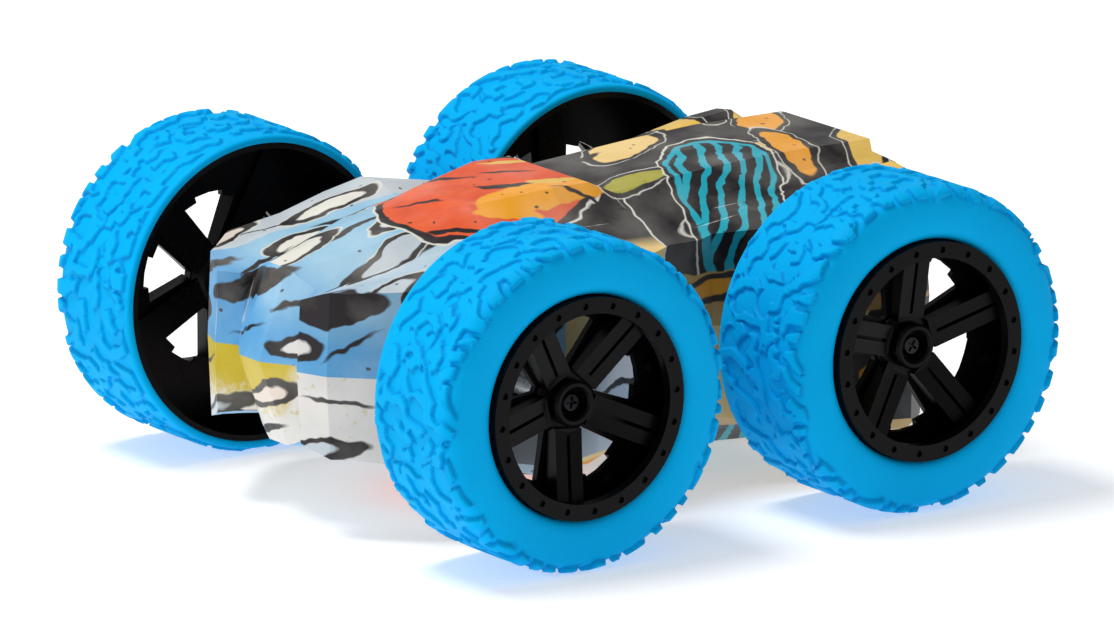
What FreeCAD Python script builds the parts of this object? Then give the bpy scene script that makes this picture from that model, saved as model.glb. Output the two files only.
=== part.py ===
"""Double-sided radio-controlled stunt car with four oversize wheels.

Frame: +X forward, +Y to the car's left, +Z up.  The origin is midway between
the four wheels, on the axle line, which is also the plane where the two body
shells meet.  Millimetres and degrees.

The gear train on the right is the left one turned half a turn about Z, so a
left-hand design serves both sides.
"""
import FreeCAD, Part
import math
import os
import Sketcher
from FreeCAD import Placement, Rotation, Vector

DOC = FreeCAD.newDocument("stunt_car")
UP = Vector(0, 0, 1)
ACROSS = Vector(0, 1, 0)

# ---------------------------------------------------------------------------
# Driving dimensions
# ---------------------------------------------------------------------------
DIMENSIONS = {
    # wheels
    "tyre_radius": 45.0,
    "tyre_inner_side": 60.0,
    "tyre_outer_side": 96.5,
    "tyre_bead_radius": 30.0,
    "barrel_radius": 41.4,
    "barrel_wall": 1.6,
    "ring_face": 97.0,
    "ring_hole_radius": 25.6,
    "hub_radius": 9.0,
    "hub_inner_side": 80.0,
    "hub_outer_side": 89.0,
    "spoke_count": 5,
    "spoke_width": 8.4,
    "spoke_groove": 1.0,
    "web_side": 82.0,
    "web_thickness": 2.0,
    "window_outer_radius": 22.8,
    "web_stud_radius": 1.7,
    "cap_inner_radius": 4.2,
    "dimple_count": 20,
    "dimple_radius": 0.9,
    # axles and their plain bearings
    "axle_radius": 2.5,
    "axle_inner_end": 24.0,
    "axle_outer_end": 85.0,
    "running_gap": 0.05,
    "bush_radius": 4.5,
    "bush_flange_radius": 6.0,
    # gears
    "train_module": 0.8,
    "motor_module": 0.5,
    "axle_gear_teeth": 28,
    "idler_teeth": 36,
    "centre_gear_teeth": 38,
    "cluster_small_teeth": 12,
    "cluster_large_teeth": 36,
    "motor_pinion_teeth": 9,
    "train_inner_side": 31.0,
    "train_width": 4.0,
    "motor_gear_inner_side": 27.6,
    "motor_gear_width": 3.0,
    "gear_pin_radius": 1.25,
    "cluster_angle": 118.42105,
    # gearbox plates
    "plate_inner_side": 24.8,
    "plate_thickness": 1.8,
    "cover_inner_side": 36.0,
    "cover_thickness": 1.5,
    "post_radius": 2.2,
    # motors
    "motor_can_radius": 10.0,
    "motor_can_flat": 7.7,
    "motor_length": 25.0,
    "motor_shaft_radius": 1.0,
    # body shells
    "shell_wall": 1.8,
    "wall_top": 42.0,
    "boss_radius": 3.6,
    "screw_radius": 1.3,
    # battery
    "battery_length": 50.0,
    "battery_width": 32.0,
    "battery_height": 16.0,
    "battery_centre": -55.0,
    "battery_top": -16.0,
    "door_length": 56.0,
    "door_width": 34.0,
    "door_gap": 0.25,
    # electronics
    "board_length": 36.0,
    "board_width": 30.0,
    "board_thickness": 1.6,
    "board_centre": 52.0,
    "board_top": 4.0,
    # power switch
    "switch_place": 8.0,
    "switch_length": 12.0,
    "switch_width": 6.0,
    "switch_travel": 3.0,
    "belly_height": 39.0,
}


def make_sheet():
    sheet = DOC.addObject("Spreadsheet::Sheet", "Dimensions")
    for row, (alias, value) in enumerate(DIMENSIONS.items(), start=1):
        sheet.set("A%d" % row, alias)
        sheet.set("B%d" % row, str(value))
        sheet.setAlias("B%d" % row, alias)
    DOC.recompute()
    return sheet


SHEET = make_sheet()


def size(alias):
    """A driving dimension, read back from the sheet."""
    return float(SHEET.get(alias))


def bind(thing, prop, formula):
    """Tie a property to the sheet; formula names cells as plain words."""
    words = formula
    for alias in sorted(DIMENSIONS, key=len, reverse=True):
        words = words.replace("<%s>" % alias, "Dimensions.%s" % alias)
    thing.setExpression(prop, words)


def wheel_x():
    """Half the wheelbase: the gear train's centre distances added up."""
    module = size("train_module")
    first = size("centre_gear_teeth") + size("idler_teeth")
    second = size("idler_teeth") + size("axle_gear_teeth")
    return module * (first + second) / 2.0


def idler_x():
    return size("train_module") * (size("centre_gear_teeth") + size("idler_teeth")) / 2.0


def cluster_spot():
    """Place of the cluster gear's pin, which meshes with the centre gear."""
    reach = size("train_module") * (size("centre_gear_teeth") + size("cluster_small_teeth")) / 2.0
    angle = math.radians(size("cluster_angle"))
    return reach * math.cos(angle), reach * math.sin(angle)


def motor_spot():
    """The motor's shaft lies level with the cluster gear and behind it."""
    x, z = cluster_spot()
    reach = size("motor_module") * (size("cluster_large_teeth") + size("motor_pinion_teeth")) / 2.0
    return x - reach, z


# ---------------------------------------------------------------------------
# Sketching helpers
# ---------------------------------------------------------------------------
def new_body(name):
    return DOC.addObject("PartDesign::Body", name)


def plane(body, role):
    for feature in body.Origin.OriginFeatures:
        if feature.Role == role:
            return feature
    raise ValueError(role)


def sketch(body, role, name, offset=0.0):
    """Empty sketch on one of the body's origin planes, shifted along its normal."""
    drawing = body.newObject("Sketcher::SketchObject", name)
    drawing.AttachmentSupport = [(plane(body, role), "")]
    drawing.MapMode = "FlatFace"
    drawing.AttachmentOffset = Placement(Vector(0, 0, offset), Rotation())
    return drawing


def polygon(drawing, points):
    corners = [Vector(u, v, 0) for u, v in points]
    lines = [Part.LineSegment(a, b) for a, b in zip(corners, corners[1:] + corners[:1])]
    first = drawing.GeometryCount
    drawing.addGeometry(lines, False)
    count = len(lines)
    joints = []
    for i in range(count):
        joints.append(Sketcher.Constraint("Coincident", first + i, 2, first + (i + 1) % count, 1))
    drawing.addConstraint(joints)


def circle(drawing, u, v, radius):
    drawing.addGeometry(Part.Circle(Vector(u, v, 0), UP, radius), False)


def pad(body, drawing, length, reverse=False, name="Pad"):
    feature = body.newObject("PartDesign::Pad", name)
    feature.Profile = drawing
    feature.Reversed = reverse
    if isinstance(length, str):
        bind(feature, "Length", length)
    else:
        feature.Length = length
    return feature


def pocket(body, drawing, length, reverse=False, name="Pocket"):
    """Cut along the drawing's normal and make sure that something came off."""
    DOC.recompute()
    before = body.Shape.Volume
    feature = body.newObject("PartDesign::Pocket", name)
    feature.Profile = drawing
    feature.Reversed = reverse
    if isinstance(length, str):
        bind(feature, "Length", length)
    else:
        feature.Length = length
    DOC.recompute()
    if body.Shape.Volume >= before - 1e-6:
        raise RuntimeError("%s cut nothing in %s" % (name, body.Name))
    return feature


def spin(body, drawing, kind="Revolution"):
    feature = body.newObject("PartDesign::" + kind, kind)
    feature.Profile = drawing
    feature.ReferenceAxis = (drawing, ["V_Axis"])
    feature.Angle = 360.0
    return feature


def repeat_round(body, feature, name, count_name, drawing):
    """Repeat a feature evenly about the Y axis, the drawing's own normal."""
    DOC.recompute()
    pattern = body.newObject("PartDesign::PolarPattern", name)
    pattern.Originals = [feature]
    pattern.Axis = (drawing, ["N_Axis"])
    pattern.Angle = 360.0
    bind(pattern, "Occurrences", "<%s>" % count_name)
    body.Tip = pattern
    DOC.recompute()


def turned(name, profile):
    """Body turned about the Y axis from (radius, y) corners."""
    body = new_body(name)
    drawing = sketch(body, "XY_Plane", name + "_profile")
    polygon(drawing, profile)
    spin(body, drawing)
    return body


# ---------------------------------------------------------------------------
# Placing finished pieces
# ---------------------------------------------------------------------------
PIECES = []


def keep(thing, name):
    """Name a finished piece for export."""
    thing.Label = name
    PIECES.append(thing)
    return thing


def copy_of(source, name, placement):
    """A further piece of the same design, with its own place."""
    piece = DOC.addObject("Part::Compound", name)
    piece.Links = [source]
    piece.Placement = placement
    return keep(piece, name)


def group_of(name, source, placements):
    """Identical fasteners or bearings that share one node."""
    members = []
    for number, placement in enumerate(placements):
        member = DOC.addObject("Part::Compound", "%s_%d" % (name, number))
        member.Links = [source]
        member.Placement = placement
        members.append(member)
    group = DOC.addObject("Part::Compound", name)
    group.Links = members
    return keep(group, name)


def place(x=0.0, y=0.0, z=0.0, turn=0.0, axis=ACROSS):
    return Placement(Vector(x, y, z), Rotation(axis, turn))


HALF_TURN = Placement(Vector(0, 0, 0), Rotation(UP, 180))


def on_side(side, placement):
    """Left-hand placement as it is, or swung round to the right-hand side."""
    return placement if side == "left" else HALF_TURN.multiply(placement)


def end_name(side, forward):
    """Which end of the car a left-hand 'forward' piece lands at."""
    return "front" if forward == (side == "left") else "rear"


# ---------------------------------------------------------------------------
# Gears
# ---------------------------------------------------------------------------
PRESSURE_ANGLE = math.radians(20)
BACKLASH = 0.08
ROOT_GAP = 0.25


def involute(angle):
    return math.tan(angle) - angle


def tooth_outline(module, teeth, addendum):
    """One stub tooth on the +X side, with involute flanks."""
    pitch_radius = module * teeth / 2.0
    base_radius = pitch_radius * math.cos(PRESSURE_ANGLE)
    root_radius = pitch_radius - module * (addendum + ROOT_GAP)
    tip_radius = pitch_radius + module * addendum
    half_at_pitch = math.pi / (2 * teeth) - BACKLASH / (2 * pitch_radius)
    foot_radius = max(base_radius, root_radius)
    flank = []
    steps = 4
    for step in range(steps + 1):
        radius = foot_radius + (tip_radius - foot_radius) * step / steps
        pressure = math.acos(min(1.0, base_radius / radius))
        half = half_at_pitch + involute(PRESSURE_ANGLE) - involute(pressure)
        flank.append((radius * math.cos(half), radius * math.sin(half)))
    buried = root_radius - 0.6 * module
    foot_half = math.atan2(flank[0][1], flank[0][0])
    flank.insert(0, (buried * math.cos(foot_half), buried * math.sin(foot_half)))
    return flank + [(x, -y) for x, y in reversed(flank)]


def add_gear(body, label, module_name, teeth_name, inner_side, width_name, addendum):
    """Disc and teeth, from inner_side outwards along Y."""
    module = size(module_name)
    teeth = int(size(teeth_name))
    root_radius = module * (teeth / 2.0 - addendum - ROOT_GAP)
    disc = sketch(body, "XZ_Plane", label + "_disc", -inner_side)
    circle(disc, 0, 0, root_radius)
    pad(body, disc, "<%s>" % width_name, True, label + "_disc_pad")
    tooth = sketch(body, "XZ_Plane", label + "_tooth", -inner_side)
    polygon(tooth, tooth_outline(module, teeth, addendum))
    tooth_pad = pad(body, tooth, "<%s>" % width_name, True, label + "_tooth_pad")
    repeat_round(body, tooth_pad, label + "_teeth", teeth_name, disc)


def bore(body, label, radius, from_side, depth):
    hole = sketch(body, "XZ_Plane", label, -from_side)
    circle(hole, 0, 0, radius)
    return pocket(body, hole, depth, False, label + "_cut")


TRAIN_ADDENDUM = 0.75
MOTOR_ADDENDUM = 0.55
HUB_RISE = 0.6


def train_gear(name, teeth_name, bore_radius):
    """Spur gear of the side train, with a raised hub on its inner face."""
    body = new_body(name)
    inner = size("train_inner_side")
    add_gear(body, name, "train_module", teeth_name, inner, "train_width", TRAIN_ADDENDUM)
    hub = sketch(body, "XZ_Plane", name + "_hub", -(inner - HUB_RISE))
    circle(hub, 0, 0, bore_radius + 1.8)
    pad(body, hub, size("train_width") + HUB_RISE, True, name + "_hub_pad")
    bore(body, name + "_bore", bore_radius, inner - 1.0, size("train_width") + 2.0)
    return body


def cluster_gear(name):
    """Large gear for the motor and small gear for the train on one hub."""
    body = new_body(name)
    inner = size("motor_gear_inner_side")
    add_gear(body, "large", "motor_module", "cluster_large_teeth", inner,
             "motor_gear_width", MOTOR_ADDENDUM)
    link = size("train_inner_side") - inner
    add_gear(body, "small", "train_module", "cluster_small_teeth", inner + link,
             "train_width", TRAIN_ADDENDUM)
    core = sketch(body, "XZ_Plane", "core", -inner)
    circle(core, 0, 0, size("gear_pin_radius") + 1.6)
    pad(body, core, link + size("train_width"), True, "core_pad")
    radius = size("gear_pin_radius") + size("running_gap")
    bore(body, name + "_bore", radius, inner - 1.0, link + size("train_width") + 2.0)
    return body


def motor_pinion(name):
    body = new_body(name)
    inner = size("motor_gear_inner_side")
    add_gear(body, name, "motor_module", "motor_pinion_teeth", inner,
             "motor_gear_width", MOTOR_ADDENDUM)
    bore(body, name + "_bore", size("motor_shaft_radius") + 0.01, inner - 1.0,
         size("motor_gear_width") + 2.0)
    return body


def mesh_phase(place_a, phase_a, teeth_a, place_b, teeth_b):
    """Angle that puts a gap of gear B on the tooth of gear A that faces it."""
    line = math.degrees(math.atan2(place_b[1] - place_a[1], place_b[0] - place_a[0]))
    return line + 180.0 - (phase_a - line) * teeth_a / teeth_b - 180.0 / teeth_b


def gear_place(spot, phase):
    """Phase runs from +X towards +Z, which is a negative turn about Y."""
    return place(x=spot[0], z=spot[1], turn=-phase)


def build_trains():
    pin_bore = size("gear_pin_radius") + size("running_gap")
    axle_bore = size("axle_radius") + 0.01
    axle_gear = train_gear("axle_gear_design", "axle_gear_teeth", axle_bore)
    idler = train_gear("idler_design", "idler_teeth", pin_bore)
    centre = train_gear("centre_gear_design", "centre_gear_teeth", pin_bore)
    cluster = cluster_gear("cluster_design")
    pinion = motor_pinion("pinion_design")

    teeth = {name: int(size(name)) for name in DIMENSIONS if name.endswith("_teeth")}
    middle = (0.0, 0.0)
    cluster_at = cluster_spot()
    motor_at = motor_spot()
    cluster_phase = mesh_phase(middle, 0.0, teeth["centre_gear_teeth"],
                               cluster_at, teeth["cluster_small_teeth"])
    pinion_phase = mesh_phase(cluster_at, cluster_phase, teeth["cluster_large_teeth"],
                              motor_at, teeth["motor_pinion_teeth"])
    for side in ("left", "right"):
        copy_of(centre, "centre_gear_" + side, on_side(side, gear_place(middle, 0.0)))
        copy_of(cluster, "cluster_gear_" + side,
                on_side(side, gear_place(cluster_at, cluster_phase)))
        copy_of(pinion, "motor_pinion_" + side,
                on_side(side, gear_place(motor_at, pinion_phase)))
        for forward in (True, False):
            sign = 1.0 if forward else -1.0
            idler_at = (sign * idler_x(), 0.0)
            axle_at = (sign * wheel_x(), 0.0)
            idler_phase = mesh_phase(middle, 0.0, teeth["centre_gear_teeth"],
                                     idler_at, teeth["idler_teeth"])
            axle_phase = mesh_phase(idler_at, idler_phase, teeth["idler_teeth"],
                                    axle_at, teeth["axle_gear_teeth"])
            corner = end_name(side, forward) + "_" + side
            copy_of(idler, "idler_gear_" + corner,
                    on_side(side, gear_place(idler_at, idler_phase)))
            copy_of(axle_gear, "axle_gear_" + corner,
                    on_side(side, gear_place(axle_at, axle_phase)))


# ---------------------------------------------------------------------------
# Wheels
# ---------------------------------------------------------------------------
# The barrel is a deep cup, open towards the car.  Corners are (radius, y).
SEAT_GAP = 0.02
CUP_TURN = 82.0
CUP_SHOULDER = (38.0, 88.5)
CUP_NOSE = (31.0, 92.0)
# The spokes' face rises from beside the hub's post to the ring.
HUB_POST = 6.2
SPOKE_FRONT = ((8.0, 88.0), (28.0, 92.3))
# Angle of one spoke from +X towards +Z, in the left-hand design.
SPOKE_ANGLES = {"front_left": -84.0, "rear_left": -55.5, "front_right": 61.5, "rear_right": 21.0}


def barrel_outside(gap):
    """Corners where the tyre sits on the rim."""
    outer = size("barrel_radius") + gap
    bead = size("tyre_bead_radius") + gap
    return [
        (outer, size("tyre_inner_side") + 0.6),
        (outer, CUP_TURN),
        (CUP_SHOULDER[0] + gap, CUP_SHOULDER[1] + gap),
        (CUP_NOSE[0] + gap, CUP_NOSE[1] + gap),
        (bead, CUP_NOSE[1] + 1.2),
    ]


def make_tyre(name):
    radius = size("tyre_radius")
    inner = size("tyre_inner_side")
    outer = size("tyre_outer_side")
    bead = size("tyre_bead_radius") + SEAT_GAP
    profile = barrel_outside(SEAT_GAP)
    profile += [
        (bead, outer - 1.2),
        (bead + 1.6, outer - 0.2),
        (bead + 5.0, outer),
        (radius - 3.4, outer - 0.4),
        (radius - 1.0, outer - 1.6),
        (radius, outer - 3.4),
        (radius, inner + 1.4),
        (radius - 1.0, inner),
        (size("barrel_radius") + SEAT_GAP, inner),
    ]
    return turned(name, profile)


def window_outline():
    """Corners of the opening between two spokes, in (x, z), centred on half a step."""
    middle = math.radians(180.0 / size("spoke_count"))
    outer = size("window_outer_radius")
    corners = []
    for side in (-1.0, 1.0):
        spoke = middle + side * middle
        along = (math.cos(spoke), math.sin(spoke))
        out = (side * math.sin(spoke), -side * math.cos(spoke))
        for reach, offset in ((8.1, 5.0), (outer - 0.9, 6.0)):
            corners.append((along[0] * reach + out[0] * offset,
                            along[1] * reach + out[1] * offset))
    inner_a, outer_a, inner_b, outer_b = corners
    bay = math.radians(10.4)
    rim_side = [(radius * math.cos(middle + turn), radius * math.sin(middle + turn))
                for radius, turn in ((outer, -bay), (outer + 1.6, -bay), (outer + 1.6, 0.0),
                                     (outer + 1.6, bay), (outer, bay))]
    return [inner_a, outer_a] + rim_side + [outer_b, inner_b]


def make_rim(name):
    """Deep cup with a windowed web, five double-ribbed spokes and a front ring."""
    wall = size("barrel_wall")
    ring_face = size("ring_face")
    hole = size("ring_hole_radius")
    bead = size("tyre_bead_radius")
    barrel_radius = size("barrel_radius")
    hub_in = size("hub_inner_side")
    hub_out = size("hub_outer_side")
    hub = size("hub_radius")
    web = size("web_side")
    body = new_body(name)

    hub_drawing = sketch(body, "XY_Plane", "hub_profile")
    polygon(hub_drawing, [(0, hub_in), (hub - 3.0, hub_in), (hub, web), (hub, hub_out - 3.5),
                          (hub - 1.0, hub_out - 2.5), (HUB_POST, hub_out - 2.5),
                          (HUB_POST, hub_out), (0, hub_out)])
    spin(body, hub_drawing)

    half = size("spoke_width") / 2.0
    spoke = sketch(body, "XZ_Plane", "spoke_outline", -(hub_in + 0.4))
    polygon(spoke, [(hub - 2.0, -half), (barrel_radius - 2.4, -half),
                    (barrel_radius - 2.4, half), (hub - 2.0, half)])
    spoke_pad = pad(body, spoke, ring_face - hub_in, True, "spoke_pad")
    repeat_round(body, spoke_pad, "spokes", "spoke_count", spoke)

    middle_wall = [(CUP_SHOULDER[0] - wall / 2.0, CUP_SHOULDER[1] - wall / 2.0),
                   (barrel_radius - wall / 2.0, CUP_TURN - wall / 4.0)]
    front = sketch(body, "XY_Plane", "spoke_front")
    polygon(front, [(HUB_POST + 0.1, ring_face + 4.0), (HUB_POST + 0.1, SPOKE_FRONT[0][1]),
                    SPOKE_FRONT[0], SPOKE_FRONT[1],
                    (CUP_NOSE[0] - wall, CUP_NOSE[1] - wall / 2.0)] + middle_wall
            + [(barrel_radius - wall / 2.0, hub_in - 1.0), (barrel_radius + 6.0, hub_in - 1.0),
               (barrel_radius + 6.0, ring_face + 4.0)])
    cut_round(body, front)

    cup = sketch(body, "XY_Plane", "barrel_profile")
    inner_corners = [
        (bead, ring_face),
        (hole, ring_face),
        (hole, ring_face - 3.0),
        (hole + 2.6, CUP_NOSE[1] - 1.0),
        (CUP_SHOULDER[0] - wall, CUP_SHOULDER[1] - wall),
        (barrel_radius - wall, CUP_TURN - wall / 2.0),
        (barrel_radius - wall, size("tyre_inner_side") + 0.6),
    ]
    polygon(cup, barrel_outside(0.0) + inner_corners)
    spin(body, cup)
    DOC.recompute()

    disc = sketch(body, "XZ_Plane", "web_disc", -web)
    circle(disc, 0, 0, barrel_radius - 0.8 * wall)
    circle(disc, 0, 0, hub - 1.0)
    pad(body, disc, size("web_thickness"), True, "web_pad")
    DOC.recompute()
    window = sketch(body, "XZ_Plane", "window", -(web - 0.5))
    polygon(window, window_outline())
    window_cut = pocket(body, window, size("web_thickness") + 1.0, False, "window_cut")
    repeat_round(body, window_cut, "windows", "spoke_count", window)

    stud = sketch(body, "XZ_Plane", "web_stud", -(web + 0.5))
    half_step = math.radians(180.0 / size("spoke_count"))
    stud_at = size("window_outer_radius") + 5.0
    circle(stud, stud_at * math.cos(half_step), stud_at * math.sin(half_step),
           size("web_stud_radius"))
    stud_pad = pad(body, stud, 5.0, True, "web_stud_pad")
    repeat_round(body, stud_pad, "web_studs", "spoke_count", stud)

    rib = size("spoke_groove") / 2.0
    groove = sketch(body, "XZ_Plane", "spoke_groove", -(SPOKE_FRONT[0][1] - 0.8))
    start = HUB_POST + 2.6
    polygon(groove, [(start, -rib), (hole + 2.0, -rib), (hole + 2.0, rib), (start, rib)])
    groove_cut = pocket(body, groove, 6.2, False, "groove_cut")
    repeat_round(body, groove_cut, "grooves", "spoke_count", groove)

    dimple = sketch(body, "XZ_Plane", "dimple", -(ring_face - 0.9))
    middle = (bead + hole) / 2.0
    half_step = math.radians(180.0 / size("dimple_count"))
    circle(dimple, middle * math.cos(half_step), middle * math.sin(half_step),
           size("dimple_radius"))
    dimple_cut = pocket(body, dimple, 2.0, False, "dimple_cut")
    repeat_round(body, dimple_cut, "dimples", "dimple_count", dimple)

    axle_end = size("axle_outer_end")
    bore(body, "axle_bore", size("axle_radius") + 0.01, hub_in - 1.0, axle_end - hub_in + 1.2)
    bore(body, "screw_bore", size("screw_radius") + 0.2, axle_end - 1.0, 6.0)
    bore(body, "screw_recess", size("cap_inner_radius"), axle_end + 1.2, 6.0)
    return body


def cut_round(body, drawing):
    """Groove about Y that must take something off."""
    DOC.recompute()
    before = body.Shape.Volume
    spin(body, drawing, "Groove")
    DOC.recompute()
    if body.Shape.Volume >= before - 1e-6:
        raise RuntimeError("groove cut nothing in " + body.Name)


def make_hub_cap(name):
    """Ring that trims the hub and leaves the screw's head in view."""
    start = size("hub_outer_side")
    inner = size("cap_inner_radius")
    return turned(name, [(inner, start), (HUB_POST, start), (HUB_POST, start + 0.7),
                         (5.6, start + 1.4), (inner + 0.5, start + 1.4), (inner, start + 0.8)])


def make_wheel_screw(name):
    seat = size("axle_outer_end") + 1.25
    shank = size("screw_radius")
    body = turned(name, [(0, seat - 11.0), (shank, seat - 11.0), (shank, seat),
                         (2.9, seat), (2.9, seat + 1.4), (2.2, seat + 2.1), (0, seat + 2.1)])
    slot = sketch(body, "XZ_Plane", "cross_slot", -(seat + 1.2))
    polygon(slot, [(-1.7, -0.35), (1.7, -0.35), (1.7, 0.35), (-1.7, 0.35)])
    pocket(body, slot, 2.0, False, "cross_slot_cut")
    slot = sketch(body, "XZ_Plane", "cross_slot_2", -(seat + 1.2))
    polygon(slot, [(-0.35, -1.7), (0.35, -1.7), (0.35, 1.7), (-0.35, 1.7)])
    pocket(body, slot, 2.0, False, "cross_slot_2_cut")
    return body


def make_axle(name):
    radius = size("axle_radius")
    inner = size("axle_inner_end")
    outer = size("axle_outer_end")
    pilot = size("screw_radius") + 0.02
    return turned(name, [(0, inner), (radius - 0.3, inner), (radius, inner + 0.3),
                         (radius, outer), (pilot, outer), (pilot, outer - 12.0),
                         (0, outer - 12.0)])


def build_wheels():
    designs = {
        "tyre": make_tyre("tyre_design"),
        "rim": make_rim("rim_design"),
        "hub_cap": make_hub_cap("hub_cap_design"),
        "wheel_screw": make_wheel_screw("wheel_screw_design"),
        "axle": make_axle("axle_design"),
    }
    for side in ("left", "right"):
        for forward in (True, False):
            x = wheel_x() if forward else -wheel_x()
            corner = end_name(side, forward) + "_" + side
            for kind, design in designs.items():
                spot = gear_place((x, 0.0), SPOKE_ANGLES[corner])
                copy_of(design, kind + "_" + corner, on_side(side, spot))


# ---------------------------------------------------------------------------
# Gearboxes and motors
# ---------------------------------------------------------------------------
POSTS = [(70.5, 0.0), (-70.5, 0.0), (14.6, 15.5), (14.6, -15.5), (-14.6, -15.5)]
PLATE_LOWER = [(-74, -6), (-66, -13), (-45, -14), (-34, -17.5), (34, -17.5),
               (45, -14), (66, -13), (74, -6), (74, 6), (66, 13), (45, 14), (34, 18.5)]
FRAME_TOP = [(4, 19), (0, 27), (-30, 27), (-36, 17), (-45, 14), (-66, 13), (-74, 6)]
COVER_TOP = [(4, 20.6), (-16, 20.6), (-36, 17), (-45, 14), (-66, 13), (-74, 6)]


def pin_spots():
    return [(idler_x(), 0.0), (-idler_x(), 0.0), (0.0, 0.0), cluster_spot()]


def drill(body, name, spots, radius, from_side, depth):
    holes = sketch(body, "XZ_Plane", name, -from_side)
    for x, z in spots:
        circle(holes, x, z, radius)
    pocket(body, holes, depth, False, name + "_cut")


def make_frame(name):
    """Inner plate with posts that carry the cover."""
    body = new_body(name)
    side = size("plate_inner_side")
    thick = size("plate_thickness")
    outline = sketch(body, "XZ_Plane", "frame_outline", -side)
    polygon(outline, PLATE_LOWER + FRAME_TOP)
    pad(body, outline, "<plate_thickness>", True, "frame_plate")
    posts = sketch(body, "XZ_Plane", "frame_posts", -(side + thick / 2.0))
    for x, z in POSTS:
        circle(posts, x, z, size("post_radius"))
    pad(body, posts, size("cover_inner_side") - side - thick / 2.0, True, "frame_posts_pad")
    axle_hole = size("axle_radius") + size("running_gap")
    axles = [(wheel_x(), 0.0), (-wheel_x(), 0.0)]
    drill(body, "axle_holes", axles, axle_hole, side - 1.0, thick + 2.0)
    drill(body, "pin_holes", pin_spots(), size("gear_pin_radius") + 0.01, side - 1.0, thick + 2.0)
    drill(body, "motor_hole", [motor_spot()], 3.1, side - 1.0, thick + 2.0)
    return body


def make_cover(name):
    body = new_body(name)
    side = size("cover_inner_side")
    thick = size("cover_thickness")
    outline = sketch(body, "XZ_Plane", "cover_outline", -side)
    polygon(outline, PLATE_LOWER + COVER_TOP)
    pad(body, outline, "<cover_thickness>", True, "cover_plate")
    axle_hole = size("axle_radius") + size("running_gap")
    axles = [(wheel_x(), 0.0), (-wheel_x(), 0.0)]
    drill(body, "axle_holes", axles, axle_hole, side - 1.0, thick + 2.0)
    drill(body, "pin_holes", pin_spots(), size("gear_pin_radius") + 0.01, side - 1.0, thick + 2.0)
    return body


def make_motor_can(name):
    """Round can with two flats, and a bearing boss at the shaft's end."""
    top = size("plate_inner_side") - 0.05
    can = DOC.addObject("Part::Cylinder", name + "_round")
    bind(can, "Radius", "<motor_can_radius>")
    bind(can, "Height", "<motor_length>")
    can.Placement = Placement(Vector(0, top, 0), Rotation(Vector(1, 0, 0), 90))
    flats = DOC.addObject("Part::Box", name + "_flats")
    flats.Length = 2.0 * size("motor_can_radius")
    bind(flats, "Width", "<motor_length>")
    bind(flats, "Height", "<motor_can_flat> * 2")
    flats.Placement = place(-size("motor_can_radius"), top - size("motor_length"),
                            -size("motor_can_flat"))
    shape = DOC.addObject("Part::MultiCommon", name + "_can")
    shape.Shapes = [can, flats]
    boss = DOC.addObject("Part::Cylinder", name + "_boss")
    boss.Radius = 3.0
    boss.Height = 3.0
    boss.Placement = Placement(Vector(0, top + 1.6, 0), Rotation(Vector(1, 0, 0), 90))
    fused = DOC.addObject("Part::MultiFuse", name + "_fused")
    fused.Shapes = [shape, boss]
    hole = DOC.addObject("Part::Cylinder", name + "_hole")
    bind(hole, "Radius", "<motor_shaft_radius> + <running_gap>")
    hole.Height = size("motor_length") + 10.0
    hole.Placement = Placement(Vector(0, top + 5.0, 0), Rotation(Vector(1, 0, 0), 90))
    bored = DOC.addObject("Part::Cut", name)
    bored.Base = fused
    bored.Tool = hole
    return bored


def build_gearboxes():
    frame = make_frame("frame_design")
    cover = make_cover("cover_design")
    can = make_motor_can("motor_design")
    shaft_end = size("motor_gear_inner_side") + size("motor_gear_width") + 0.2
    shaft_start = size("plate_inner_side") - size("motor_length") - 1.5
    radius = size("motor_shaft_radius")
    shaft = turned("motor_shaft_design", [(0, shaft_start), (radius, shaft_start),
                                          (radius, shaft_end), (0, shaft_end)])
    pin = turned("gear_pin_design", [
        (0, size("plate_inner_side")), (size("gear_pin_radius"), size("plate_inner_side")),
        (size("gear_pin_radius"), size("cover_inner_side") + size("cover_thickness")),
        (0, size("cover_inner_side") + size("cover_thickness"))])
    motor_x, motor_z = motor_spot()
    for side in ("left", "right"):
        copy_of(frame, "gearbox_frame_" + side, on_side(side, place()))
        copy_of(cover, "gearbox_cover_" + side, on_side(side, place()))
        copy_of(can, "motor_can_" + side, on_side(side, place(x=motor_x, z=motor_z)))
        copy_of(shaft, "motor_shaft_" + side, on_side(side, place(x=motor_x, z=motor_z)))
        spots = [on_side(side, place(x=x, z=z)) for x, z in pin_spots()]
        group_of("gear_pins_" + side, pin, spots)


def build_axle_bushes():
    """Flanged sleeves where the axles leave the body's side walls."""
    inner = size("axle_radius") + size("running_gap")
    outer = size("bush_radius")
    flange = size("bush_flange_radius")
    wall = SIDE_WALL
    bush = turned("bush_design", [(inner, wall - 5.0), (outer, wall - 5.0), (outer, wall + 0.05),
                                  (flange, wall + 0.05), (flange, wall + 1.3), (inner, wall + 1.3)])
    spots = []
    for side in ("left", "right"):
        for x in (wheel_x(), -wheel_x()):
            spots.append(on_side(side, place(x=x)))
    group_of("axle_bushes", bush, spots)


# ---------------------------------------------------------------------------
# Body shells
# ---------------------------------------------------------------------------
SIDE_WALL = 50.0

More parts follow.
